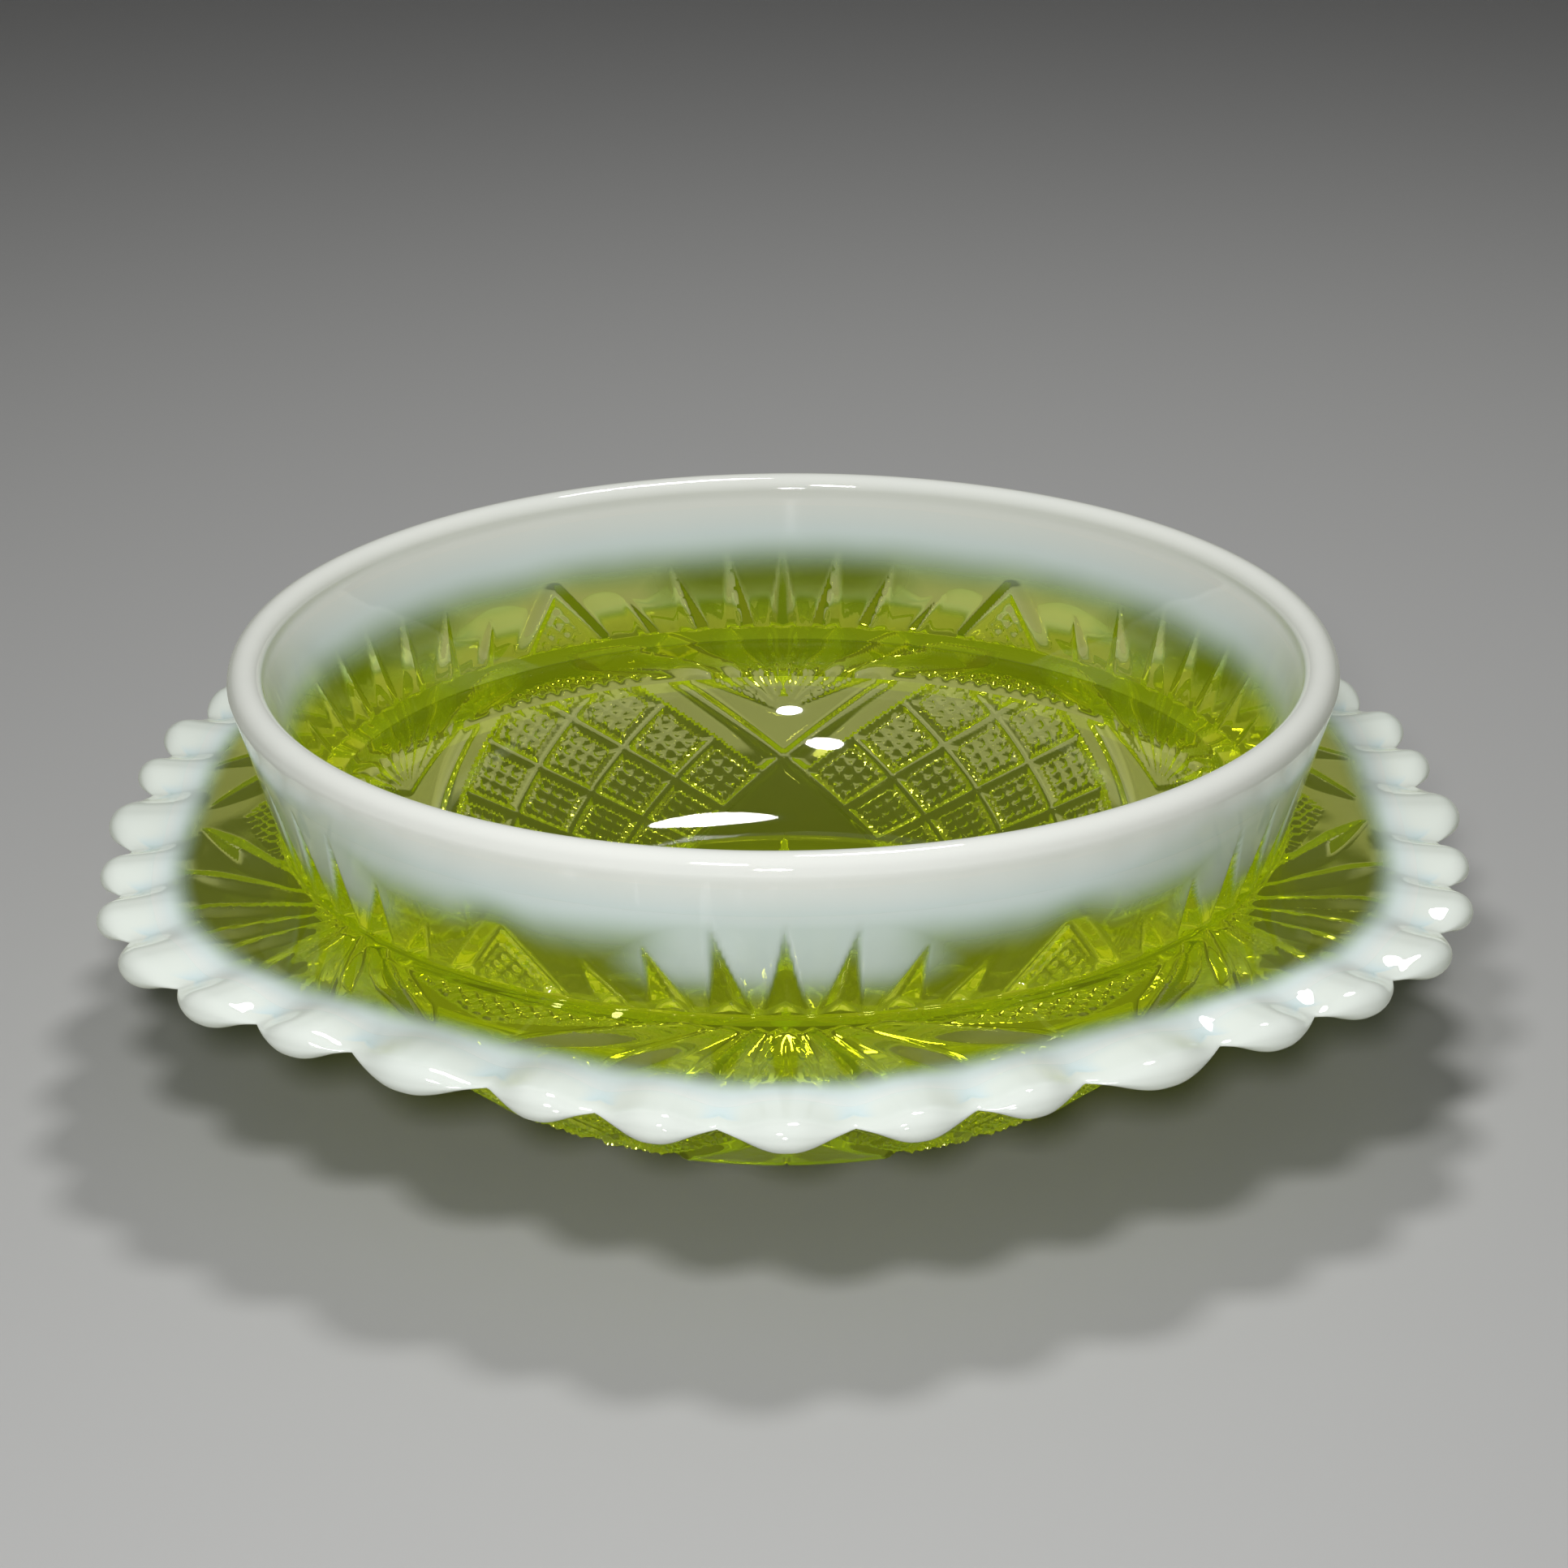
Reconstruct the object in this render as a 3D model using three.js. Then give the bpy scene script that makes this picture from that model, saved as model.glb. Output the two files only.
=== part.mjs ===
// A pressed opalescent uranium glass dish: a round bowl with a scalloped flange half way up its wall.
// The dish is one pressing. Its zones are modelled as separate solids with a hairline gap between them.
// Millimetres, +Z up, origin at the centre of the standing face. A fan of the pattern points along -Y.
import * as THREE from "three";

// Driving dimensions.
const VALLEY_RADIUS = 84; // the flange's edge, at the notches between its lobes
const FLANGE_HEIGHT = 25.2; // the middle of the flange, above the standing face
const RIM_HEIGHT = 49.5;
const RIM_RADIUS = 69;
const RIM_THICKNESS = 4.4;
const BASE_RADIUS = 42; // where the base panel ends and the lower bowl begins
const BASE_THICKNESS = 4.2;
const GAP = 0.3; // between neighbouring zones

// The flange: thick at its root, thinner towards its edge.
const ROOT_RADIUS = 0.765 * VALLEY_RADIUS;
const EDGE_RADIUS = 0.955 * VALLEY_RADIUS; // where the opal edge begins, before the sectors' swell
const ROOT_TOP = FLANGE_HEIGHT + 2.6;
const ROOT_UNDERSIDE = FLANGE_HEIGHT - 2.8;
const EDGE_TOP = FLANGE_HEIGHT + 1.9;
const EDGE_UNDERSIDE = FLANGE_HEIGHT - 1.9;

// The upper wall: straight and flared, from the flange's root to the rim.
const WALL_OUTSIDE_AT_ROOT = 0.755 * VALLEY_RADIUS;
const WALL_INSIDE_AT_ROOT = 0.693 * VALLEY_RADIUS;
const FAN_WALL_TOP = FLANGE_HEIGHT + 0.2 * VALLEY_RADIUS;
const RIM_ROUND = RIM_THICKNESS / 2;
const RIM_SPRING = RIM_HEIGHT - RIM_ROUND; // where the rounded rim springs from the straight wall
const OPAL_BAND_TOP = RIM_SPRING - 1.5;

// The lower bowl: an elliptical arc outside, and another inside that runs level into the floor.
const BOWL_TOP = ROOT_UNDERSIDE - 1;
const OUTSIDE_ARC = { r: 0, z: FLANGE_HEIGHT + 1.7, across: 0.745 * VALLEY_RADIUS, down: 39.5 };
const INSIDE_ARC_RADIUS = 36; // the flat floor's radius
const INSIDE_ARC = {
  r: INSIDE_ARC_RADIUS,
  z: ROOT_TOP,
  across: WALL_INSIDE_AT_ROOT - INSIDE_ARC_RADIUS,
  down: ROOT_TOP - BASE_THICKNESS,
};

// The scalloped edge: six equal sectors, each with five even lobes at its fan and one wide lobe.
const SECTORS = 6;
const LOBES_PER_SECTOR = 6;
const FAN_LOBE = 10; // degrees, the lobe on the fan's axis
const SIDE_LOBE = 9.3; // degrees, the two on each side of it
const WIDE_LOBE = 360 / SECTORS - FAN_LOBE - 4 * SIDE_LOBE;
const LOBE_RISE = 0.0039 * VALLEY_RADIUS; // a lobe's crown beyond its notches, for each degree of its width
const SECTOR_SWELL = 0.028 * VALLEY_RADIUS; // the outline swells at the fans and draws in between

const TURN_STEPS = 72;
const FLANGE_STEPS = 144;
const STEPS_PER_LOBE = 5;
const ARC_STEPS = 5;

// The radius of an elliptical arc's lower right quarter at a height.
function arcRadius(arc, z) {
  const drop = (arc.z - z) / arc.down;
  return arc.r + arc.across * Math.sqrt(1 - drop * drop);
}

// The height of that quarter at a radius.
function arcHeight(arc, r) {
  const reach = (r - arc.r) / arc.across;
  return arc.z - arc.down * Math.sqrt(1 - reach * reach);
}

// Points along a lower right quarter between two heights, in the order asked for.
function arcPoints(arc, fromZ, toZ) {
  const angleAt = (z) => Math.asin((arc.z - z) / arc.down);
  const from = angleAt(fromZ);
  const to = angleAt(toZ);
  const points = [];
  for (let i = 0; i <= ARC_STEPS; i += 1) {
    const angle = from + ((to - from) * i) / ARC_STEPS;
    points.push([arc.r + arc.across * Math.cos(angle), arc.z - arc.down * Math.sin(angle)]);
  }
  return points;
}

// The straight upper wall's outside and inside radius at a height.
function wallOutside(z) {
  const share = (z - ROOT_TOP) / (RIM_SPRING - ROOT_TOP);
  return WALL_OUTSIDE_AT_ROOT + (RIM_RADIUS - WALL_OUTSIDE_AT_ROOT) * share;
}

function wallInside(z) {
  const share = (z - ROOT_TOP) / (RIM_SPRING - ROOT_TOP);
  return WALL_INSIDE_AT_ROOT + (RIM_RADIUS - RIM_THICKNESS - WALL_INSIDE_AT_ROOT) * share;
}

// A section turned about +Z. Its points run anticlockwise, radius to the right and height up.
function turned(section, steps = TURN_STEPS) {
  const points = section.map(([r, z]) => new THREE.Vector2(r, z));
  const geometry = new THREE.LatheGeometry(points, steps);
  geometry.rotateX(Math.PI / 2);
  return geometry;
}

// A closed ring's section: the outline comes back to its first point.
function ring(section, steps) {
  return turned([...section, section[0]], steps);
}

function baseGeometry() {
  const underFloor = arcHeight(INSIDE_ARC, BASE_RADIUS);
  const middle = (BASE_RADIUS + INSIDE_ARC_RADIUS) / 2;
  return turned([
    [0, 0],
    [BASE_RADIUS, 0],
    [BASE_RADIUS, underFloor],
    [middle, arcHeight(INSIDE_ARC, middle)],
    [INSIDE_ARC_RADIUS, BASE_THICKNESS],
    [0, BASE_THICKNESS],
  ]);
}

function lowerBowlGeometry() {
  const innerRadius = BASE_RADIUS + GAP;
  const footBevel = 0.6;
  const footRadius = arcRadius(OUTSIDE_ARC, footBevel);
  return ring([
    [innerRadius, 0],
    [footRadius - footBevel, 0],
    ...arcPoints(OUTSIDE_ARC, footBevel, BOWL_TOP),
    ...arcPoints(INSIDE_ARC, BOWL_TOP, arcHeight(INSIDE_ARC, innerRadius)),
  ]);
}

function flangeRootGeometry() {
  const underside = BOWL_TOP + GAP;
  return ring([
    [arcRadius(INSIDE_ARC, underside), underside],
    [arcRadius(OUTSIDE_ARC, underside), underside],
    [ROOT_RADIUS, ROOT_UNDERSIDE],
    [ROOT_RADIUS, ROOT_TOP],
    [WALL_INSIDE_AT_ROOT, ROOT_TOP],
  ]);
}

// How far the flange's outline swells beyond its mean radius at an azimuth, most at the fans.
function swellAt(azimuth) {
  return SECTOR_SWELL * Math.cos(SECTORS * azimuth);
}

// The flange's outer face follows the sectors' swell.
function flangeGeometry() {
  const innerRadius = ROOT_RADIUS + GAP;
  const section = [
    [innerRadius, ROOT_UNDERSIDE],
    [EDGE_RADIUS, EDGE_UNDERSIDE],
    [EDGE_RADIUS, EDGE_TOP],
    [innerRadius, ROOT_TOP],
  ];
  const geometry = ring(section, FLANGE_STEPS);
  const position = geometry.attributes.position;
  const pointsPerStep = section.length + 1;
  for (let i = 0; i < position.count; i += 1) {
    const step = Math.floor(i / pointsPerStep) % FLANGE_STEPS;
    const azimuth = (2 * Math.PI * step) / FLANGE_STEPS;
    const plain = Math.hypot(position.getX(i), position.getY(i));
    const share = (plain - innerRadius) / (EDGE_RADIUS - innerRadius);
    const r = plain + swellAt(azimuth) * share;
    position.setXYZ(i, r * Math.sin(azimuth), -r * Math.cos(azimuth), position.getZ(i));
  }
  return geometry;
}

// The lobes' widths in degrees, round the whole edge, from the lobe on the front fan's axis.
function lobeWidths() {
  const sector = [FAN_LOBE, SIDE_LOBE, SIDE_LOBE, WIDE_LOBE, SIDE_LOBE, SIDE_LOBE];
  return Array.from({ length: SECTORS }, () => sector).flat();
}

// The edge's azimuth and outline radius, for a place counted in lobes round the edge.
function scallopAt(place) {
  const widths = lobeWidths();
  const lobe = Math.floor(place) % widths.length;
  const share = place - Math.floor(place);
  const before = widths.slice(0, lobe).reduce((sum, width) => sum + width, 0);
  const degrees = before - FAN_LOBE / 2 + widths[lobe] * share;
  const azimuth = THREE.MathUtils.degToRad(degrees);
  const rise = LOBE_RISE * widths[lobe] * Math.sin(Math.PI * share);
  return { azimuth, radius: VALLEY_RADIUS + swellAt(azimuth) + rise };
}

// The edge is turned as a plain round-nosed ring, and each of its points is then moved out to the lobes.
function scallopedEdgeGeometry() {
  const innerRadius = EDGE_RADIUS + GAP;
  const noseSteps = 6;
  const halfThickness = (EDGE_TOP - EDGE_UNDERSIDE) / 2;
  const section = [[innerRadius, EDGE_UNDERSIDE]];
  for (let i = 0; i <= noseSteps; i += 1) {
    const angle = -Math.PI / 2 + (Math.PI * i) / noseSteps;
    const r = VALLEY_RADIUS - halfThickness + halfThickness * Math.cos(angle);
    section.push([r, FLANGE_HEIGHT + halfThickness * Math.sin(angle)]);
  }
  section.push([innerRadius, EDGE_TOP]);
  const lobes = SECTORS * LOBES_PER_SECTOR;
  const steps = lobes * STEPS_PER_LOBE;
  const geometry = ring(section, steps);
  const position = geometry.attributes.position;
  const pointsPerStep = section.length + 1;
  for (let i = 0; i < position.count; i += 1) {
    const step = Math.floor(i / pointsPerStep) % steps;
    const { azimuth, radius } = scallopAt(step / STEPS_PER_LOBE);
    const plain = Math.hypot(position.getX(i), position.getY(i));
    const share = (plain - innerRadius) / (VALLEY_RADIUS - innerRadius);
    const start = innerRadius + swellAt(azimuth);
    const r = start + (radius - start) * share;
    position.setXYZ(i, r * Math.sin(azimuth), -r * Math.cos(azimuth), position.getZ(i));
  }
  return geometry;
}

// A band of the straight upper wall between two heights.
function wallBandGeometry(bottom, top) {
  return ring([
    [wallInside(bottom), bottom],
    [wallOutside(bottom), bottom],
    [wallOutside(top), top],
    [wallInside(top), top],
  ]);
}

function rimGeometry() {
  const bottom = OPAL_BAND_TOP + GAP;
  const centre = RIM_RADIUS - RIM_ROUND;
  const roundSteps = 8;
  const section = [
    [wallInside(bottom), bottom],
    [wallOutside(bottom), bottom],
  ];
  for (let i = 0; i <= roundSteps; i += 1) {
    const angle = (Math.PI * i) / roundSteps;
    section.push([centre + RIM_ROUND * Math.cos(angle), RIM_SPRING + RIM_ROUND * Math.sin(angle)]);
  }
  return ring(section);
}

function clearGlass() {
  return new THREE.MeshStandardMaterial({ color: 0xb7cc2a, roughness: 0.05, metalness: 0 });
}

function opalGlass() {
  return new THREE.MeshStandardMaterial({ color: 0xe9efe6, roughness: 0.08, metalness: 0 });
}

function zone(name, geometry, material) {
  const mesh = new THREE.Mesh(geometry, material);
  mesh.name = name;
  return mesh;
}

const dish = new THREE.Group();
dish.add(
  zone("base", baseGeometry(), clearGlass()),
  zone("lower_bowl", lowerBowlGeometry(), clearGlass()),
  zone("flange_root", flangeRootGeometry(), clearGlass()),
  zone("flange", flangeGeometry(), clearGlass()),
  zone("scalloped_edge", scallopedEdgeGeometry(), opalGlass()),
  zone("fan_wall", wallBandGeometry(ROOT_TOP + GAP, FAN_WALL_TOP), clearGlass()),
  zone("opal_band", wallBandGeometry(FAN_WALL_TOP + GAP, OPAL_BAND_TOP), opalGlass()),
  zone("rim", rimGeometry(), opalGlass()),
);

export default dish;
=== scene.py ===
"""The looks of a pressed opalescent uranium glass dish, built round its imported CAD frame.

Lengths in the pattern are in valley radii (the flange's radius at the notches between its lobes), and
heights are above the flange's middle plane. They are turned into metres only when a mesh is written.
"""

import math

import bpy
import numpy as np
from mathutils import Matrix, Vector


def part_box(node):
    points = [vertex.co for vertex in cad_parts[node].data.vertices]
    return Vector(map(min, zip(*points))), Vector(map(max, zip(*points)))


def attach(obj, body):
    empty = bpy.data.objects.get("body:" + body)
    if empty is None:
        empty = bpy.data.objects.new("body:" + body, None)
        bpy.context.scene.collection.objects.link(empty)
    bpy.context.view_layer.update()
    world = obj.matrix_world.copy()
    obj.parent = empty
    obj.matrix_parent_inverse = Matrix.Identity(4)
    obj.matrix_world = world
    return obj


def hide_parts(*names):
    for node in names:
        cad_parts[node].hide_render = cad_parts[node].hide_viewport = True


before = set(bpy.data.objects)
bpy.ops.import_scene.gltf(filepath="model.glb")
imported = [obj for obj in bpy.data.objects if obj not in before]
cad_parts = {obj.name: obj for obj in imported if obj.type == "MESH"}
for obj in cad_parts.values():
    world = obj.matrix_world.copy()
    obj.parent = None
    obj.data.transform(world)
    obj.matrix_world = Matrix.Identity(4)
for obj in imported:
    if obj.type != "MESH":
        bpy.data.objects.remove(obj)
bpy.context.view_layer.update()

# The flange's outline: six sectors, each with five even lobes at its fan and one wide lobe.
SECTORS = 6
HALF_SECTOR = 180 / SECTORS  # degrees
SWELL = 0.028  # the outline swells at the fans and draws in between
FAN_LOBE = 10.0  # degrees
SIDE_LOBE = 9.3
LOBE_RISE = 0.0039  # a lobe's crown beyond its notches, for each degree of its width

# The frame's own places.
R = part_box("scalloped_edge")[1].y / (1 + SWELL + LOBE_RISE * FAN_LOBE)
FLANGE_Z = sum(corner.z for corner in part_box("scalloped_edge")) / 2


def radius_of(node):
    """A node's outer radius along +X, in valley radii."""
    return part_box(node)[1].x / R


def heights_of(node):
    """A node's lowest and highest level, in valley radii above the flange's middle."""
    low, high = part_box(node)
    return (low.z - FLANGE_Z) / R, (high.z - FLANGE_Z) / R


TABLE = -FLANGE_Z / R
BASE_RADIUS = radius_of("base")
EDGE_HALF = heights_of("scalloped_edge")[1]
ROOT_UNDERSIDE, ROOT_TOP = heights_of("flange")
BOWL_TOP = heights_of("lower_bowl")[1]
WALL_FOOT, FAN_WALL_TOP = heights_of("fan_wall")
BAND_TOP = heights_of("opal_band")[1]
RIM_TOP = heights_of("rim")[1]
RIM_RADIUS = radius_of("rim")

# The section.
RIM_THICKNESS = 0.0524
RIM_SPRING = RIM_TOP - RIM_THICKNESS / 2  # where the rim's round top springs from the wall
ROOT_RADIUS = 0.765  # where the flange leaves its root, before the swell
EDGE_RADIUS = 0.955  # where the opal edge begins, before the swell
WALL_OUTSIDE_AT_ROOT = 0.755
WALL_INSIDE_AT_ROOT = 0.693
OUTSIDE_ACROSS = 0.745  # half the width of the ellipse that the bowl's outside follows
OUTSIDE_DOWN = 0.47  # half its height
OUTSIDE_CENTRE = 0.02  # the height of its centre
FLOOR_RADIUS = 0.4286  # where the inside's flat floor ends
FLOOR = TABLE + 0.05
BEVEL = 0.007  # round the foot
NOSE = 0.03  # how far in from its tip a lobe's round nose begins
CREASE = 0.021  # how deep the creases between the lobes are
CREASE_START = 0.88  # the radius where they begin
SLOPE = 0.95  # a mitre's depth for its half width
HAIRLINE = 0.00002  # half of the space between neighbouring pieces
PATTERN_STEPS = 1080  # points round a ring that carries the pattern or the outline
PLAIN_STEPS = 360  # points round a plain ring


# ---------------------------------------------------------------- section lines

def smooth(value, low, high):
    """0 below low, 1 above high, and an S curve between."""
    share = np.clip((value - low) / (high - low), 0, 1)
    return share * share * (3 - 2 * share)


def bowl_outside(z):
    """The bowl's outside radius at a height."""
    return OUTSIDE_ACROSS * np.sqrt(1 - ((OUTSIDE_CENTRE - z) / OUTSIDE_DOWN) ** 2)


def bowl_inside(turn):
    """The inside's quarter ellipse: turn is 0 at the wall's foot and a right angle at the floor."""
    r = FLOOR_RADIUS + (WALL_INSIDE_AT_ROOT - FLOOR_RADIUS) * np.cos(turn)
    return r, ROOT_TOP - (ROOT_TOP - FLOOR) * np.sin(turn)


def turn_at_height(z):
    """The turn at which the inside's quarter ellipse passes a height."""
    return math.asin((ROOT_TOP - z) / (ROOT_TOP - FLOOR))


def turn_at_radius(r):
    """The turn at which the inside's quarter ellipse passes a radius."""
    return math.acos((r - FLOOR_RADIUS) / (WALL_INSIDE_AT_ROOT - FLOOR_RADIUS))


def wall_outside(z):
    """The upper wall's outside radius at a height: a straight cone."""
    share = (z - ROOT_TOP) / (RIM_SPRING - ROOT_TOP)
    return WALL_OUTSIDE_AT_ROOT + (RIM_RADIUS - WALL_OUTSIDE_AT_ROOT) * share


def wall_inside(z):
    """The upper wall's inside radius at a height: a straight cone, a little steeper."""
    share = (z - ROOT_TOP) / (RIM_SPRING - ROOT_TOP)
    return WALL_INSIDE_AT_ROOT + (RIM_RADIUS - RIM_THICKNESS - WALL_INSIDE_AT_ROOT) * share


def curve(start, control, end, count):
    """A quadratic curve through the plane of the section."""
    t = np.linspace(0, 1, count)[:, None]
    start, control, end = (np.array(p, float) for p in (start, control, end))
    return (1 - t) ** 2 * start + 2 * t * (1 - t) * control + t**2 * end


class Line:
    """A line in the section, from which points, lengths and outward normals are read."""

    def __init__(self, *stretches):
        points = np.concatenate(stretches)
        steps = np.hypot(*np.diff(points, axis=0).T)
        keep = np.concatenate([[True], steps > 1e-9])
        self.r, self.z = points[keep].T
        self.length = np.concatenate([[0], np.cumsum(steps[steps > 1e-9])])

    def at_height(self, z):
        """The length at a height, on a line that rises."""
        return float(np.interp(z, self.z, self.length))

    def at_radius(self, r):
        """The length at a radius, on a line that runs outwards."""
        return float(np.interp(r, self.r, self.length))

    def read(self, lengths):
        """Radius, height, and the normal to the right of the line's direction."""
        nudge = 2e-4
        r, z = (np.interp(lengths, self.length, axis) for axis in (self.r, self.z))
        ahead = np.clip(lengths + nudge, 0, self.length[-1])
        behind = np.clip(lengths - nudge, 0, self.length[-1])
        dr = np.interp(ahead, self.length, self.r) - np.interp(behind, self.length, self.r)
        dz = np.interp(ahead, self.length, self.z) - np.interp(behind, self.length, self.z)
        size = np.hypot(dr, dz)
        return r, z, dz / size, -dr / size


def across_flange(r):
    """0 at the flange's root and 1 where the opal edge begins, by the radius before the swell."""
    return np.clip((r - ROOT_RADIUS) / (EDGE_RADIUS - ROOT_RADIUS), 0, 1)


def thinning(r):
    """How far the flange has thinned, quickly at its root and level at its edge."""
    share = across_flange(r)
    return share * (2 - share)


def underside_line():
    """From the centre of the base, up the bowl's outside, and out under the flange to its edge."""
    foot = float(bowl_outside(TABLE + BEVEL))
    flat = np.stack([np.linspace(0, foot - BEVEL, 300), np.full(300, TABLE)], 1)
    bevel = curve((foot - BEVEL, TABLE), (foot - BEVEL / 4, TABLE), (foot, TABLE + BEVEL), 20)
    heights = np.linspace(TABLE + BEVEL, BOWL_TOP, 1200)
    bowl = np.stack([bowl_outside(heights), heights], 1)
    top = float(bowl_outside(BOWL_TOP))
    fillet = curve((top, BOWL_TOP), (top + 0.003, ROOT_UNDERSIDE), (ROOT_RADIUS, ROOT_UNDERSIDE), 40)
    radii = np.linspace(ROOT_RADIUS, EDGE_RADIUS, 300)
    flange = np.stack([radii, ROOT_UNDERSIDE + (-EDGE_HALF - ROOT_UNDERSIDE) * thinning(radii)], 1)
    return Line(flat, bevel, bowl, fillet, flange)


UNDERSIDE = underside_line()


# ---------------------------------------------------------------- the pressed pattern

# The lattice under the bowl. Its lines are counted from the middle of a panel between two fans.
ROW = 0.07  # half a lattice cell, along the section
COLUMN = 6.75  # half a lattice cell round the bowl, in degrees
ACROSS_LINES = 0.0527  # distance across the lattice lines for one step of their count
TOP_ROW = UNDERSIDE.at_height(-0.08)
CELL = 2  # steps from one lattice line to the next
LINE_HALF_WIDTH = 0.0145
PATCH_MARGIN = 0.36  # steps from a lattice line to the patch of hobs inside a cell
HOB = (CELL - 2 * PATCH_MARGIN) / 3  # three hobs across a patch
FINE_HALF_WIDTH = 0.0092
PANEL_UPPER, PANEL_LOWER = 2.02, 6.0  # the counts at which the lattice stops
UPPER_BORDER = 2.8  # the count of the border line above it
BORDER_HALF_WIDTH = 0.016

# The fan under the flange.
FAN_FOOT = UNDERSIDE.at_height(-0.105)  # where its ribs meet
RIBS = (  # each rib's angle from the fan's axis, half width, and the radius that it reaches
    (8.0, 0.019, 0.945),
    (28.0, 0.021, 0.945),
    (48.0, 0.021, 0.925),
    (62.5, 0.024, 0.892),
)
RIB_DEPTH = 1.3  # as a share of an ordinary mitre's depth
RIB_POINT = 0.07  # the length over which a rib's end narrows to a point
RIB_HALF_WIDTH_AT_FOOT = 0.004
RIB_WIDENING = 0.085
FIELD_EDGE = 71.0  # degrees from a fan's axis to the field of points beside it
FIELD_REACH = 0.83  # the radius where that field ends
POINT_PITCH = 0.03

# The star under the base: each ray's azimuth from the fan's axis in degrees, reach and half width.
STAR_RAYS = (
    (0, 0.6, 0.04),
    (30, 0.39, 0.026),
    (15, 0.3, 0.02),
)
STAR_MIDDLE = 0.41  # the radius inside which the rays aren't stopped by the lattice

# The fan on the wall: each mitre's foot and tip in degrees, tip height, and how fast it widens downwards.
UPPER_MITRES = (
    (0.0, 0.0, 0.19, 0.19),
    (5.4, 7.4, 0.19, 0.19),
    (11.3, 14.4, 0.15, 0.27),
    (17.2, 21.0, 0.108, 0.33),
)
MITRE_FOOT = 0.024  # the height of every mitre's foot, and of the chevron's
MITRE_HALF_WIDTH = 0.032  # at most
CHEVRON_FOOT = 23.6  # degrees
CHEVRON_TIP = 0.128
CHEVRON_HALF_WIDTH = 0.018


def cut(distance, half_width):
    """The depth of a V-shaped mitre at a distance from its line."""
    return SLOPE * np.clip(half_width - distance, 0, None)


def to_nearest(value, pitch):
    """Distance from the nearest whole multiple of a pitch."""
    return np.abs(value - pitch * np.round(value / pitch))


def lattice_counts(phi, length):
    """The two families of diagonal lattice lines, counted from the panel's middle."""
    column = (HALF_SECTOR - phi) / COLUMN
    row = (TOP_ROW - length) / ROW
    return column - row, column + row


def in_patch(place, slack):
    """True inside a cell's patch of hobs, for a place in steps across the cell."""
    return (place > PATCH_MARGIN - slack) & (place < CELL - PATCH_MARGIN + slack)


def lattice(phi, length):
    """Diagonal mitres make square cells, and each cell holds three by three small hobs."""
    falling, rising = lattice_counts(phi, length)
    inside = (falling < PANEL_UPPER) & (rising < PANEL_LOWER)
    depth = np.zeros_like(falling)
    for count, other in ((falling, rising), (rising, falling)):
        line = cut(to_nearest(count, CELL) * ACROSS_LINES, LINE_HALF_WIDTH)
        depth = np.maximum(depth, np.where(inside, line, 0))
        across = np.mod(count, CELL)
        along = np.mod(other, CELL)
        fine = cut(to_nearest(across - PATCH_MARGIN, HOB) * ACROSS_LINES, FINE_HALF_WIDTH)
        on_patch = inside & in_patch(across, 0.05) & in_patch(along, 0.02)
        depth = np.maximum(depth, np.where(on_patch, fine, 0))
    upper_border = cut(np.abs(falling - UPPER_BORDER) * ACROSS_LINES, BORDER_HALF_WIDTH)
    lower_border = cut(np.abs(rising - PANEL_LOWER) * ACROSS_LINES, BORDER_HALF_WIDTH)
    depth = np.maximum(depth, np.where(rising < PANEL_LOWER + 0.2, upper_border, 0))
    return np.maximum(depth, np.where(falling < UPPER_BORDER + 0.2, lower_border, 0))


def fan_place(phi, r, length):
    """Distance and angle from the foot of the lower fan, with the fan's axis at 0 degrees."""
    x = np.radians(phi) * r
    y = length - FAN_FOOT
    return np.hypot(x, y), np.degrees(np.arctan2(x, y))


def lower_fan(phi, r, length):
    """Four pairs of wide mitred ribs that spread from a point under the flange nearly to its edge."""
    distance, angle = fan_place(phi, r, length)
    depth = np.zeros_like(r)
    for rib, half_width, reach in RIBS:
        point = np.clip((reach - r) / RIB_POINT, 0, 1) ** 0.8
        width = np.clip(RIB_HALF_WIDTH_AT_FOOT + RIB_WIDENING * distance, 0, half_width) * point
        turn = np.radians(np.clip(np.abs(angle - rib), 0, 90))
        depth = np.maximum(depth, cut(distance * np.sin(turn), width))
    return RIB_DEPTH * depth


def diamond_points(x, y):
    """Small four-sided points in rows at 45 degrees, shallower than the mitres."""
    half_width = 0.45 * POINT_PITCH
    rising = cut(to_nearest(x + y, POINT_PITCH), half_width)
    falling = cut(to_nearest(x - y, POINT_PITCH), half_width)
    return 0.6 * np.maximum(rising, falling)


def flange_points(phi, r, length):
    """The three-cornered field of points between two neighbouring fans, under the flange."""
    angle = fan_place(phi, r, length)[1]
    on_field = (angle > FIELD_EDGE) & (r > ROOT_RADIUS - 0.02) & (r < FIELD_REACH)
    x = np.radians(HALF_SECTOR - phi) * r
    return np.where(on_field, diamond_points(x, r), 0)


def star(phi, r):
    """Rays from the middle of the base: long ones on the fans, shorter ones between."""
    depth = np.zeros_like(r)
    for angle, reach, half_width in STAR_RAYS:
        off = r * np.sin(np.radians(np.abs(phi - angle)))
        along = np.clip(r / reach, 0, 1)
        taper = np.minimum(along * 4, 1) * (1 - along)
        depth = np.maximum(depth, cut(off, half_width * taper))
    return depth


def under_relief(phi, r, length):
    """How deep the pattern is cut anywhere on the underside."""
    squares = np.where(length < FAN_FOOT + 0.06, lattice(phi, length), 0)
    fan = np.where(length > FAN_FOOT, lower_fan(phi, r, length), 0)
    points = flange_points(phi, r, length)
    near_base = length < UNDERSIDE.at_height(TABLE + BEVEL) + 0.08
    clear_of_lattice = (lattice_counts(phi, length)[1] > PANEL_LOWER + 0.1) | (r < STAR_MIDDLE)
    rays = np.where(near_base & clear_of_lattice, star(phi, r), 0)
    return np.maximum.reduce([squares, fan, points, rays])


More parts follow.
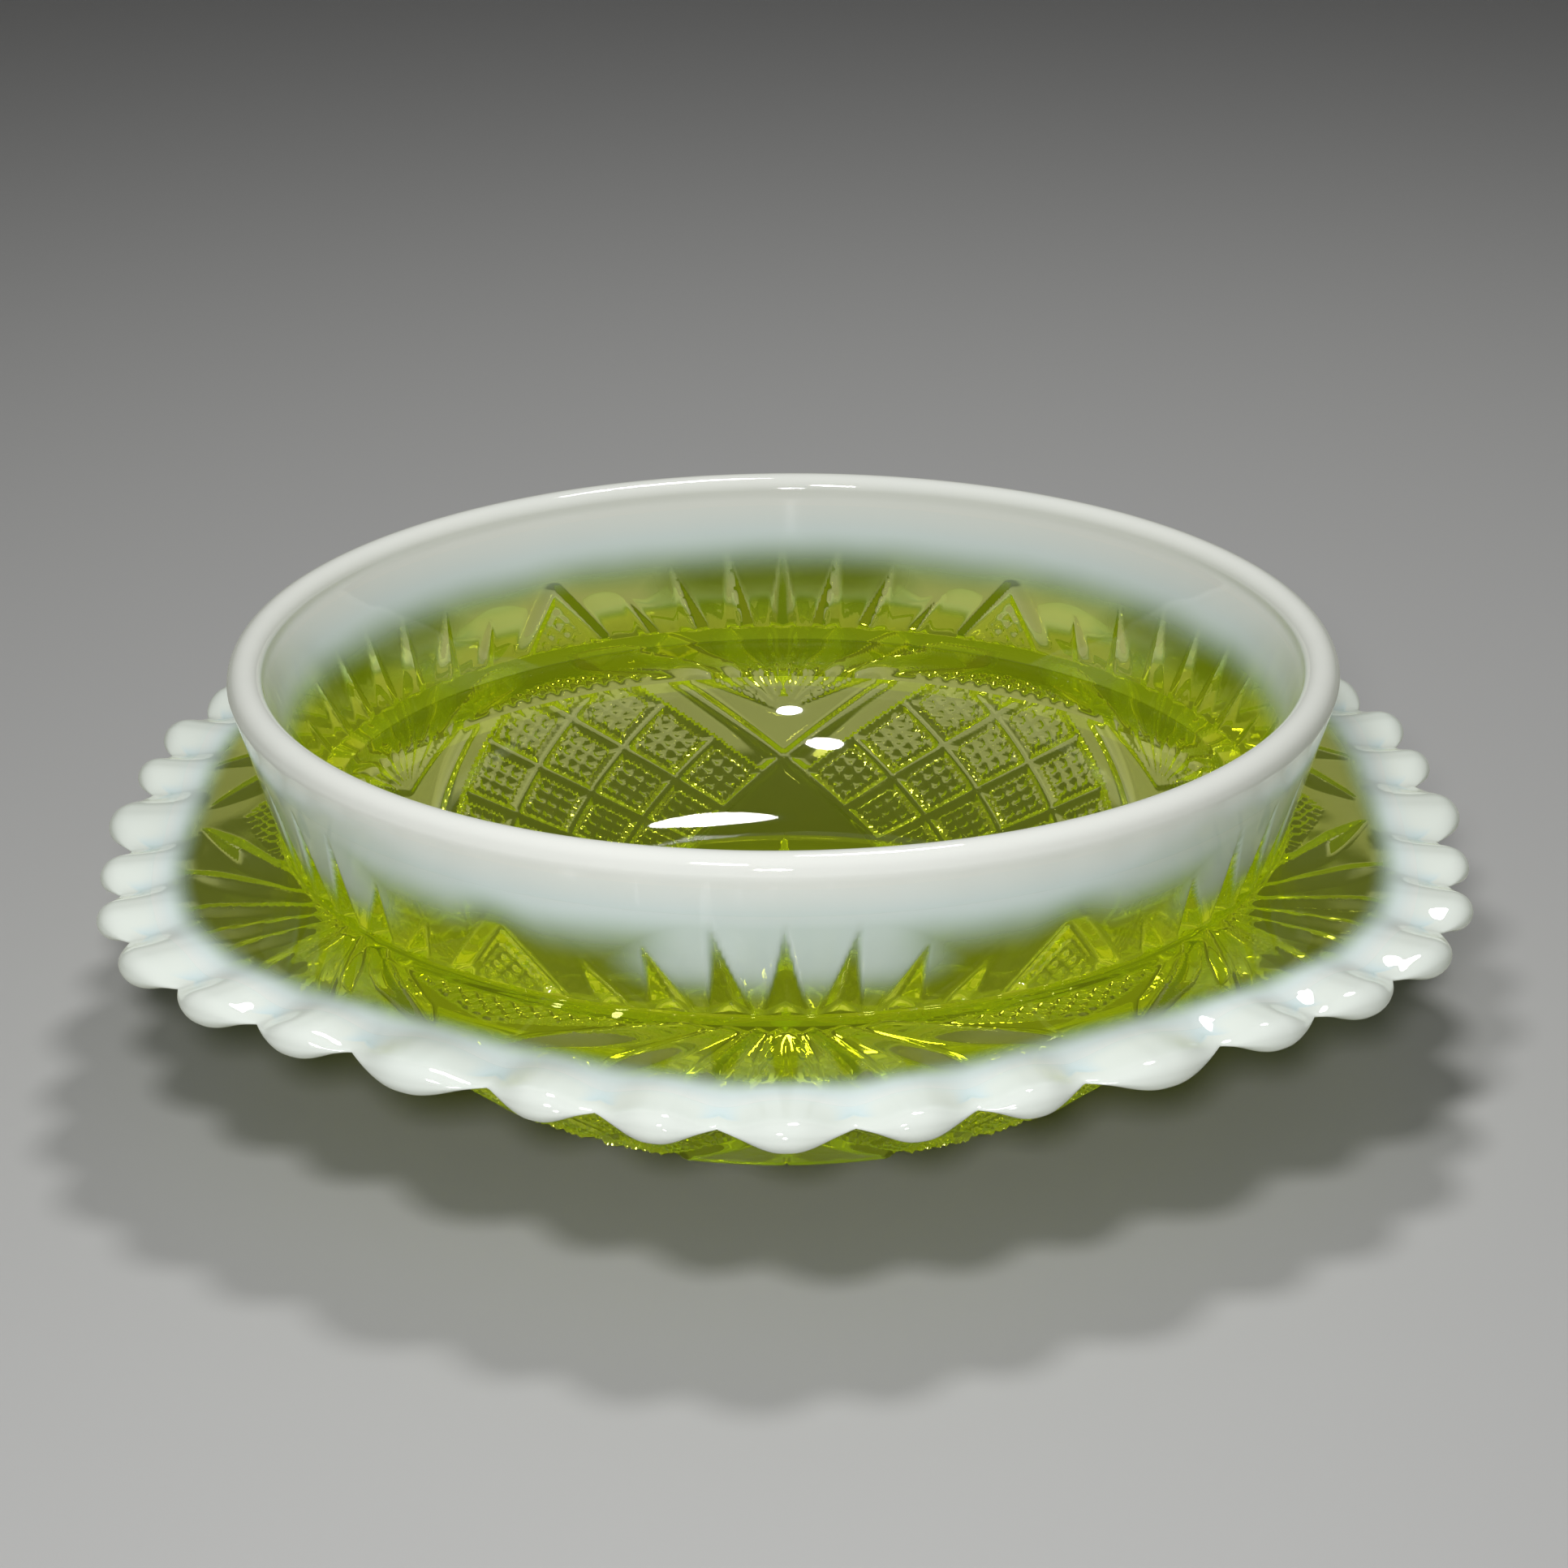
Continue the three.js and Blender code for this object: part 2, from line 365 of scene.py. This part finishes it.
def upper_mitres(phi, r, z):
    """How deep the wall's fan is cut."""
    depth = np.zeros_like(r)
    for foot, tip, height, widening in UPPER_MITRES:
        share = (z - MITRE_FOOT) / (height - MITRE_FOOT)
        axis = foot + (tip - foot) * share
        half_width = np.clip((height - z) * widening, 0, MITRE_HALF_WIDTH)
        depth = np.maximum(depth, cut(np.radians(np.abs(phi - axis)) * r, half_width))
    return depth


def chevron(phi, r, z):
    """Between two fans, a chevron of two mitres over a field of points."""
    share = (z - MITRE_FOOT) / (CHEVRON_TIP - MITRE_FOOT)
    axis = CHEVRON_FOOT + (HALF_SECTOR - CHEVRON_FOOT) * share
    off = np.radians(phi - axis) * r / math.sqrt(2)
    leg = np.where(share < 1.1, cut(np.abs(off), CHEVRON_HALF_WIDTH), 0)
    points = diamond_points(np.radians(HALF_SECTOR - phi) * r, z)
    return np.maximum(leg, np.where((off > CHEVRON_HALF_WIDTH - 0.002) & (share < 1), points, 0))


def wall_relief(phi, r, z):
    """How deep the pattern is cut into the outside of the upper wall."""
    run_out = smooth(z, WALL_FOOT - 0.006, WALL_FOOT + 0.008)
    return np.maximum(upper_mitres(phi, r, z), chevron(phi, r, z)) * run_out


def lobe_arch(phi):
    """1 on a lobe's crown and 0 in the notch beside it, and the lobe's width in degrees."""
    first = FAN_LOBE / 2
    centre = np.select(
        [phi < first, phi < first + SIDE_LOBE, phi < first + 2 * SIDE_LOBE],
        [0.0, first + SIDE_LOBE / 2, first + 1.5 * SIDE_LOBE],
        HALF_SECTOR,
    )
    wide = 2 * (HALF_SECTOR - first - 2 * SIDE_LOBE)
    width = np.select([phi < first, phi < first + 2 * SIDE_LOBE], [FAN_LOBE, SIDE_LOBE], wide)
    return np.clip(np.cos(np.pi * (phi - centre) / width), 0, 1), width


def lobe_side(phi):
    """0 on a lobe's crown, 1 in the notch beside it."""
    return 2 / np.pi * np.arccos(lobe_arch(phi)[0])


def crease(phi, r):
    """How far the flange's faces draw in towards the notches, by the radius before the swell."""
    return CREASE * smooth(lobe_side(phi), 0.1, 1.05) * smooth(r, CREASE_START, 1.0)


# ---------------------------------------------------------------- where the glass has struck opal

HAZE_ABOVE, HAZE_BELOW = 0.862, 0.885  # the radii where haze begins on the flange's two faces
HAZE_REACH = 0.115  # from there to full opal
WHITE_WALL = 0.27  # the height of full opal on the wall


def swell_at(phi):
    """How much further out the flange's outline is than at the notches of an even ring."""
    return SWELL * np.cos(np.radians(SECTORS * phi))


def flange_opal(phi, r, haze):
    """Opal towards the edge, from haze at one radius to white, and thinner in the notches."""
    notch = smooth(lobe_side(phi), 0.6, 1.0) * smooth(r - swell_at(phi), 0.93, 0.99)
    return smooth(r - 0.9 * swell_at(phi), haze, haze + HAZE_REACH) * (1 - 0.5 * notch)


def wall_opal(phi, r, z):
    """Opal above, with tongues that reach down between the fan's mitres."""
    above = smooth(z, 0.06 + 0.03 * smooth(phi, 24, 30), WHITE_WALL)
    in_fan = 1 - smooth(phi, 9, 23)
    between = 1 - smooth(upper_mitres(phi, r, z), 0.0, 0.007)
    tongues = 0.6 * in_fan * between * smooth(z, 0.03, 0.12)
    return np.maximum(above, tongues)


# ---------------------------------------------------------------- meshes

def azimuths(steps):
    """Azimuths in radians, and each one's distance in degrees from the nearest fan's axis."""
    azimuth = np.arange(steps) * 2 * np.pi / steps
    degrees = np.degrees(azimuth)
    return azimuth, np.abs(np.mod(degrees + HALF_SECTOR, 2 * HALF_SECTOR) - HALF_SECTOR)


def placed(azimuth, r, z):
    """Points in metres from azimuths, radii and heights in valley radii. Azimuth 0 is the front."""
    return np.stack([r * np.sin(azimuth), -r * np.cos(azimuth), z + FLANGE_Z / R], -1) * R


def write_mesh(name, points, faces, opal, cut_faces=()):
    """An object with smooth faces, sharp only at its corners, and an opal value at each point.

    Its cut faces, where the next piece of the same glass goes on, have a solid value of 0.
    """
    mesh = bpy.data.meshes.new(name)
    mesh.vertices.add(len(points))
    mesh.vertices.foreach_set("co", points.astype(np.float32).ravel())
    loops = np.concatenate([np.asarray(block).ravel() for block in faces])
    counts = np.concatenate([np.full(len(block), np.asarray(block).shape[1]) for block in faces])
    mesh.loops.add(len(loops))
    mesh.loops.foreach_set("vertex_index", loops.astype(np.int32))
    mesh.polygons.add(len(counts))
    starts = np.concatenate([[0], np.cumsum(counts)[:-1]])
    mesh.polygons.foreach_set("loop_start", starts.astype(np.int32))
    mesh.update(calc_edges=True)
    mesh.validate()
    mesh.polygons.foreach_set("use_smooth", np.ones(len(counts), bool))
    mesh.set_sharp_from_angle(angle=math.radians(62))
    attribute = mesh.attributes.new("opal", "FLOAT", "POINT")
    attribute.data.foreach_set("value", opal.astype(np.float32).ravel())
    solid = np.ones(len(counts), np.float32)
    for first, last in cut_faces:
        solid[first:last] = 0
    attribute = mesh.attributes.new("solid", "FLOAT", "FACE")
    attribute.data.foreach_set("value", solid)
    piece = bpy.data.objects.new(name, mesh)
    bpy.context.scene.collection.objects.link(piece)
    return piece


def ring_faces(rows, steps):
    """Quads over a grid of rows by steps that closes on itself both ways."""
    row, step = np.meshgrid(np.arange(rows), np.arange(steps), indexing="ij")
    next_row, next_step = (row + 1) % rows, (step + 1) % steps
    this_row, row_after = row * steps, next_row * steps
    corners = [this_row + step, this_row + next_step, row_after + next_step, row_after + step]
    return np.stack(corners, -1).reshape(-1, 4)


def ring_piece(name, sheets, cuts=()):
    """A closed ring from sheets of (points, opal), each a grid of rows by steps, taken in turn.

    cuts names the sheets after which the ring crosses the glass on a cut face.
    """
    points = np.concatenate([sheet[0] for sheet in sheets])
    opal = np.concatenate([sheet[1] for sheet in sheets])
    rows, steps = opal.shape
    last_rows = np.cumsum([len(sheet[1]) for sheet in sheets]) - 1
    cut_faces = [(last_rows[i] * steps, (last_rows[i] + 1) * steps) for i in cuts]
    return write_mesh(name, points.reshape(-1, 3), [ring_faces(rows, steps)], opal, cut_faces)


def under_sheet(steps, start, end, rows, swelling=False):
    """A stretch of the underside between two lengths, with its relief."""
    azimuth, phi = azimuths(steps)
    length = np.linspace(start, end, rows)[:, None] + 0 * phi
    r, z, normal_r, normal_z = UNDERSIDE.read(length)
    depth = under_relief(phi + 0 * r, r, length)
    lift = crease(phi + 0 * r, r) if swelling else 0
    grown = r + (swell_at(phi) * across_flange(r) if swelling else 0)
    points = placed(azimuth, grown - normal_r * depth, z - normal_z * depth + lift)
    return points, flange_opal(phi, grown, HAZE_BELOW)


def plain_sheet(steps, r, z, opal=0.0):
    """A turned stretch with no relief, through lists of radii and heights."""
    azimuth, phi = azimuths(steps)
    r = np.asarray(r, float)[:, None] + 0 * phi
    z = np.asarray(z, float)[:, None] + 0 * phi
    value = np.asarray(opal, float)
    value = value[:, None] if value.ndim == 1 else value
    return placed(azimuth, r, z), value + 0 * r


def inside_opal(z):
    """Opal on the wall's inside, by height."""
    return smooth(z, 0.1, WHITE_WALL)


def make_base():
    """The base panel: a flat disc with the star and the feet of the lattice under it."""
    steps, rows = 720, 84
    innermost = 0.006
    azimuth, phi = azimuths(steps)
    outer = BASE_RADIUS - HAIRLINE
    length = np.linspace(innermost, outer, rows)[:, None] + 0 * phi
    depth = under_relief(phi + 0 * length, length, length)
    under = placed(azimuth, length, TABLE + depth)
    turned_r, turned_z = bowl_inside(np.linspace(turn_at_radius(outer), math.pi / 2, 7))
    over_r = np.concatenate([turned_r, [0.3, 0.15, innermost]])
    over = plain_sheet(steps, over_r, np.concatenate([turned_z, [FLOOR] * 3]))[0]
    points = np.concatenate([under, over]).reshape(-1, 3)
    total = rows + len(over_r)
    quads = ring_faces(total, steps)[: (total - 1) * steps]
    middle = len(points)
    points = np.vstack([points, [[0, 0, 0], [0, 0, (FLOOR - TABLE) * R]]])
    step = np.arange(steps)
    after = (step + 1) % steps
    last = (total - 1) * steps
    under_fan = np.stack([after, step, np.full(steps, middle)], -1)
    over_fan = np.stack([last + step, last + after, np.full(steps, middle + 1)], -1)
    joint = (rows - 1) * steps, rows * steps
    clear = np.zeros(len(points))
    return write_mesh("base_panel", points, [quads, under_fan, over_fan], clear, [joint])


def make_lower_bowl():
    """The bowl below the flange, with the lattice outside."""
    start = UNDERSIDE.at_radius(BASE_RADIUS) + HAIRLINE
    end = UNDERSIDE.at_height(BOWL_TOP)
    outside = under_sheet(PATTERN_STEPS, start, end, 74)
    turns = np.linspace(turn_at_height(BOWL_TOP), turn_at_radius(BASE_RADIUS + HAIRLINE), 16)
    inside = plain_sheet(PATTERN_STEPS, *bowl_inside(turns))
    return ring_piece("lower_bowl_quilted", [outside, inside], cuts=(0, 1))


def flange_top(r):
    """The height of the flange's upper face, by the radius before the swell."""
    return ROOT_TOP + (EDGE_HALF - ROOT_TOP) * thinning(r)


def top_sheet(steps, radii):
    """The flange's smooth upper face, creasing a little towards the notches."""
    azimuth, phi = azimuths(steps)
    r = np.asarray(radii, float)[:, None] + 0 * phi
    grown = r + swell_at(phi) * across_flange(r)
    z = flange_top(r) - crease(phi + 0 * r, r)
    return placed(azimuth, grown, z), flange_opal(phi, grown, HAZE_ABOVE)


def make_flange():
    """The flange and the thick root that it springs from."""
    steps = PATTERN_STEPS
    start = UNDERSIDE.at_height(BOWL_TOP) + 2 * HAIRLINE
    end = UNDERSIDE.length[-1] - HAIRLINE
    under = under_sheet(steps, start, end, 46, swelling=True)
    over = top_sheet(steps, np.linspace(EDGE_RADIUS - HAIRLINE, ROOT_RADIUS + 0.012, 15))
    wall_r = float(wall_outside(WALL_FOOT))
    foot_z = WALL_FOOT - 2 * HAIRLINE
    fillet_start = (ROOT_RADIUS + 0.008, flange_top(ROOT_RADIUS))
    fillet = curve(fillet_start, (wall_r + 0.002, ROOT_TOP), (wall_r, foot_z), 5)
    root = plain_sheet(steps, fillet[:, 0], fillet[:, 1])
    turned_r, turned_z = bowl_inside(np.linspace(0, turn_at_height(BOWL_TOP + 2 * HAIRLINE), 6))
    radii = np.concatenate([[wall_inside(foot_z)], turned_r])
    inside = plain_sheet(steps, radii, np.concatenate([[foot_z], turned_z]))
    return ring_piece("flange_with_fans", [under, over, root, inside], cuts=(0, 2, 3))


def make_edge():
    """The opal edge: fat round-nosed lobes with creases between them."""
    azimuth, phi = azimuths(PATTERN_STEPS)
    arch, width = lobe_arch(phi)
    outline = 1 + swell_at(phi) + LOBE_RISE * width * arch
    start = EDGE_RADIUS + HAIRLINE + swell_at(phi)
    face_rows = np.linspace(0, 1, 8)[:, None]
    r = start + (outline - NOSE - start) * face_rows
    half = EDGE_HALF - crease(phi + 0 * r, r - swell_at(phi))
    angle = np.linspace(-90, 90, 15)[1:-1, None]
    nose_r = outline - NOSE + NOSE * np.cos(np.radians(angle))
    nose_z = half[-1] * np.sin(np.radians(angle))
    radii = np.concatenate([r, nose_r, r[::-1]])
    heights = np.concatenate([-half, nose_z + 0 * nose_r, half[::-1]])
    under = flange_opal(phi, r, HAZE_BELOW)
    over = flange_opal(phi, r, HAZE_ABOVE)[::-1]
    opal = np.concatenate([under, np.ones_like(nose_r), over])
    return ring_piece("opal_scalloped_edge", [(placed(azimuth, radii, heights), opal)])


def make_fan_wall():
    """The patterned part of the upper wall."""
    azimuth, phi = azimuths(PATTERN_STEPS)
    z = np.linspace(WALL_FOOT, FAN_WALL_TOP, 44)[:, None] + 0 * phi
    r = wall_outside(z)
    depth = wall_relief(phi + 0 * z, r, z)
    outside = (placed(azimuth, r - depth, z), wall_opal(phi + 0 * z, r, z))
    heights = np.linspace(FAN_WALL_TOP, WALL_FOOT, 10)
    inside = plain_sheet(PATTERN_STEPS, wall_inside(heights), heights, inside_opal(heights))
    return ring_piece("fan_wall_pressed", [outside, inside], cuts=(0, 1))


def make_opal_band():
    """The plain white wall above the pattern."""
    up = np.linspace(FAN_WALL_TOP + 2 * HAIRLINE, BAND_TOP, 5)
    down = up[::-1]
    outside = plain_sheet(PLAIN_STEPS, wall_outside(up), up, smooth(up, 0.09, WHITE_WALL))
    inside = plain_sheet(PLAIN_STEPS, wall_inside(down), down, inside_opal(down))
    return ring_piece("opal_collar", [outside, inside])


def make_rim():
    """The fire-polished rim, rounded over the wall's top."""
    straight = np.linspace(BAND_TOP + 2 * HAIRLINE, RIM_SPRING, 3)
    angle = np.radians(np.linspace(0, 180, 19)[1:-1])
    half = RIM_THICKNESS / 2
    round_r = RIM_RADIUS - half + half * np.cos(angle)
    round_z = RIM_SPRING + half * np.sin(angle)
    radii = np.concatenate([wall_outside(straight), round_r, wall_inside(straight[::-1])])
    heights = np.concatenate([straight, round_z, straight[::-1]])
    return ring_piece("opal_rim", [plain_sheet(PLAIN_STEPS, radii, heights, 1.0)])


# ---------------------------------------------------------------- materials

ABSORBED = (0.951, 0.966, 0.13)  # what the glass lets through best, as the absorption's colour
ABSORPTION = 270.0  # per metre
PAINTED_GLOW = (0.60, 0.75, 0.04)  # painted glow: one steady yellow-green emission on every face, lit or in shade, standing in for uranium's faint fluorescence by daylight and lifting the shaded glass
PAINTED_GLOW_STRENGTH = 0.05
GLASS_IOR = 1.52
JOINED_IOR = 1.001  # on the faces where two pieces of one casting meet, which bend no light
CLEAR_BELOW, WHITE_ABOVE = 0.08, 0.7  # the opal values between which the glass stops being clear
# What opal looks like as thin haze, as thick haze, and as full white, and the opal value of each.
WALL_OPAL = ((0.70, 0.88, 0.86), (0.80, 0.89, 0.91), (0.93, 0.94, 0.92))
EDGE_OPAL = ((0.62, 0.84, 0.86), (0.76, 0.88, 0.92), (0.88, 0.93, 0.90))
OPAL_STOPS = (0.25, 0.7, 1.0)
UNTINTED_BELOW = 0.06


def add_math(tree, operation, *values):
    """The result of a Math node whose inputs are numbers or other nodes' results."""
    node = tree.nodes.new("ShaderNodeMath")
    node.operation = operation
    for socket, value in zip(node.inputs, values):
        if isinstance(value, float):
            socket.default_value = value
        else:
            tree.links.new(value, socket)
    return node.outputs[0]


def add_attribute(tree, name):
    node = tree.nodes.new("ShaderNodeAttribute")
    node.attribute_name = name
    return node.outputs["Fac"]


def add_noise(tree, scale, detail):
    """Noise fixed to the piece."""
    place = tree.nodes.new("ShaderNodeTexCoord")
    noise = tree.nodes.new("ShaderNodeTexNoise")
    noise.inputs["Scale"].default_value = scale
    noise.inputs["Detail"].default_value = detail
    tree.links.new(place.outputs["Object"], noise.inputs["Vector"])
    return noise.outputs["Fac"]


def add_clearness(tree, haze):
    """1 in clear glass, falling to 0 as the haze thickens."""
    node = tree.nodes.new("ShaderNodeMapRange")
    node.interpolation_type = "SMOOTHSTEP"
    ends = {"From Min": CLEAR_BELOW, "From Max": WHITE_ABOVE, "To Min": 1.0, "To Max": 0.0}
    for name, value in ends.items():
        node.inputs[name].default_value = value
    tree.links.new(haze, node.inputs["Value"])
    return node.outputs["Result"]


def add_opal_colour(tree, haze, colours):
    """No tint of its own in clear glass, then the opal's colours in turn."""
    node = tree.nodes.new("ShaderNodeValToRGB")
    stops = node.color_ramp.elements
    stops[0].position = UNTINTED_BELOW
    stops[0].color = (1, 1, 1, 1)
    stops[1].position = OPAL_STOPS[-1]
    stops[1].color = (*colours[-1], 1)
    for position, colour in zip(OPAL_STOPS[:-1], colours[:-1]):
        stops.new(position).color = (*colour, 1)
    tree.links.new(haze, node.inputs["Fac"])
    return node.outputs["Color"]


def add_ripple(tree):
    """The faint waviness of fire-polished glass."""
    bump = tree.nodes.new("ShaderNodeBump")
    bump.inputs["Strength"].default_value = 0.12
    bump.inputs["Distance"].default_value = 0.001
    tree.links.new(add_noise(tree, 90.0, 1.0), bump.inputs["Height"])
    return bump.outputs["Normal"]


def add_absorption(tree):
    """The glass's own colour, which deepens with its thickness."""
    node = tree.nodes.new("ShaderNodeVolumeAbsorption")
    node.inputs["Color"].default_value = (*ABSORBED, 1)
    node.inputs["Density"].default_value = ABSORPTION
    return node.outputs[0]


def glass_material(name, opal_colours, haze_noise):
    """Clear yellow-green glass that turns to glossy white opal as the opal value rises."""
    material = bpy.data.materials.new(name)
    material.use_nodes = True
    tree = material.node_tree
    shader = tree.nodes["Principled BSDF"]
    shader.inputs["IOR"].default_value = GLASS_IOR
    shader.inputs["Roughness"].default_value = 0.03
    # A painted glow: the same faint emission on every face whatever light reaches it, for uranium's
    # fluorescence and to lift the glass in shade.
    shader.inputs["Emission Color"].default_value = (*PAINTED_GLOW, 1)
    shader.inputs["Emission Strength"].default_value = PAINTED_GLOW_STRENGTH
    solid = add_attribute(tree, "solid")
    wander = add_math(tree, "MULTIPLY_ADD", add_noise(tree, 55.0, 2.0), haze_noise, -haze_noise / 2)
    opal = add_math(tree, "ADD", add_attribute(tree, "opal"), wander)
    opal.node.use_clamp = True
    haze = add_math(tree, "MULTIPLY", opal, solid)
    tree.links.new(add_clearness(tree, haze), shader.inputs["Transmission Weight"])
    tree.links.new(add_opal_colour(tree, haze, opal_colours), shader.inputs["Base Color"])
    ior = add_math(tree, "MULTIPLY_ADD", solid, GLASS_IOR - JOINED_IOR, JOINED_IOR)
    tree.links.new(ior, shader.inputs["IOR"])
    tree.links.new(add_ripple(tree), shader.inputs["Normal"])
    tree.links.new(add_absorption(tree), tree.nodes["Material Output"].inputs["Volume"])
    return material


def plain_material(name, colour, roughness):
    """An even, matt colour."""
    material = bpy.data.materials.new(name)
    material.use_nodes = True
    shader = material.node_tree.nodes["Principled BSDF"]
    shader.inputs["Base Color"].default_value = (*colour, 1)
    shader.inputs["Roughness"].default_value = roughness
    return material


# ---------------------------------------------------------------- the stage

def add_floor():
    """A wide pale floor that curves up far behind the dish."""
    reach, bend = 12 * R, 4 * R
    line = [(-reach, 0.0), (reach, 0.0)]
    for a in np.radians(np.arange(9, 91, 9)):
        line.append((reach + bend * math.sin(a), bend * (1 - math.cos(a))))
    line.append((reach + bend, 5 * bend))
    points = [(x, y, z) for y, z in line for x in (-2 * reach, 2 * reach)]
    faces = [(2 * i, 2 * i + 1, 2 * i + 3, 2 * i + 2) for i in range(len(line) - 1)]
    mesh = bpy.data.meshes.new("floor")
    mesh.from_pydata(points, [], faces)
    mesh.polygons.foreach_set("use_smooth", [True] * len(faces))
    mesh.materials.append(plain_material("pale_floor", (0.55, 0.55, 0.54), 0.6))
    floor = bpy.data.objects.new("floor", mesh)
    bpy.context.scene.collection.objects.link(floor)


def add_softbox(name, place, size, power):
    """A round light at a place in valley radii from the flange's centre, facing that centre."""
    lamp = bpy.data.lights.new(name, "AREA")
    lamp.shape = "DISK"
    lamp.size = size * R
    lamp.energy = power
    light = bpy.data.objects.new(name, lamp)
    bpy.context.scene.collection.objects.link(light)
    offset = Vector(place) * R
    light.location = offset + Vector((0, 0, FLANGE_Z))
    light.rotation_mode = "QUATERNION"
    light.rotation_quaternion = (-offset).to_track_quat("-Z", "Y")


def add_sky():
    """A soft studio dome, brightest overhead."""
    world = bpy.data.worlds.new("studio")
    world.use_nodes = True
    nodes, links = world.node_tree.nodes, world.node_tree.links
    place = nodes.new("ShaderNodeTexCoord")
    split = nodes.new("ShaderNodeSeparateXYZ")
    links.new(place.outputs["Generated"], split.inputs[0])
    ramp = nodes.new("ShaderNodeMapRange")
    ramp.inputs["From Min"].default_value = -0.1
    ramp.inputs["To Min"].default_value = 0.15
    ramp.inputs["To Max"].default_value = 1.3
    links.new(split.outputs["Z"], ramp.inputs["Value"])
    links.new(ramp.outputs["Result"], nodes["Background"].inputs["Strength"])
    bpy.context.scene.world = world


def add_lights():
    """A key light from the upper left, one overhead, and a small one beside the camera."""
    add_softbox("key", (-1.0, -3.8, 4.6), size=1.0, power=0.8)
    add_softbox("overhead", (0.8, 2.2, 6.2), size=1.4, power=1.05)
    add_softbox("flash", (-0.2, -6.0, 2.9), size=0.7, power=0.9)
    add_sky()


def add_camera():
    """Six valley radii away and 23 degrees up, with a long lens."""
    distance = 6.137 * R
    elevation, pitch_up, roll = (math.radians(a) for a in (22.88, 0.50, 0.40))
    data = bpy.data.cameras.new("camera")
    data.sensor_width = 36
    data.lens = 93.0
    data.clip_start, data.clip_end = 0.01, 50
    camera = bpy.data.objects.new("camera", data)
    bpy.context.scene.collection.objects.link(camera)
    back = distance * math.cos(elevation)
    height = FLANGE_Z + distance * math.sin(elevation)
    tilt = Matrix.Rotation(math.pi / 2 - elevation + pitch_up, 4, "X")
    camera.matrix_world = Matrix.Translation((0, -back, height)) @ tilt @ Matrix.Rotation(-roll, 4, "Z")
    bpy.context.scene.camera = camera


# ---------------------------------------------------------------- the dish

scene = bpy.context.scene
scene.view_settings.view_transform = "Standard"
scene.cycles.max_bounces = 24
scene.cycles.transmission_bounces = 24
scene.cycles.transparent_max_bounces = 32
scene.cycles.caustics_refractive = False
add_camera()
add_lights()
add_floor()

GLASSES = {
    "clear_uranium_glass": glass_material("clear_uranium_glass", WALL_OPAL, 0.16),
    "opal_edge_glass": glass_material("opal_edge_glass", EDGE_OPAL, 0.10),
    "opal_wall_glass": glass_material("opal_wall_glass", WALL_OPAL, 0.08),
}

# How each piece is made, its glass, and the solids of the frame that it stands for.
PIECES = (
    (make_base, "clear_uranium_glass", "base"),
    (make_lower_bowl, "clear_uranium_glass", "lower_bowl"),
    (make_flange, "clear_uranium_glass", "flange", "flange_root"),
    (make_edge, "opal_edge_glass", "scalloped_edge"),
    (make_fan_wall, "clear_uranium_glass", "fan_wall"),
    (make_opal_band, "opal_wall_glass", "opal_band"),
    (make_rim, "opal_wall_glass", "rim"),
)

for make, glass, *solids in PIECES:
    piece = make()
    piece.data.materials.append(GLASSES[glass])
    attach(piece, "root")
    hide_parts(*solids)

bpy.context.view_layer.update()
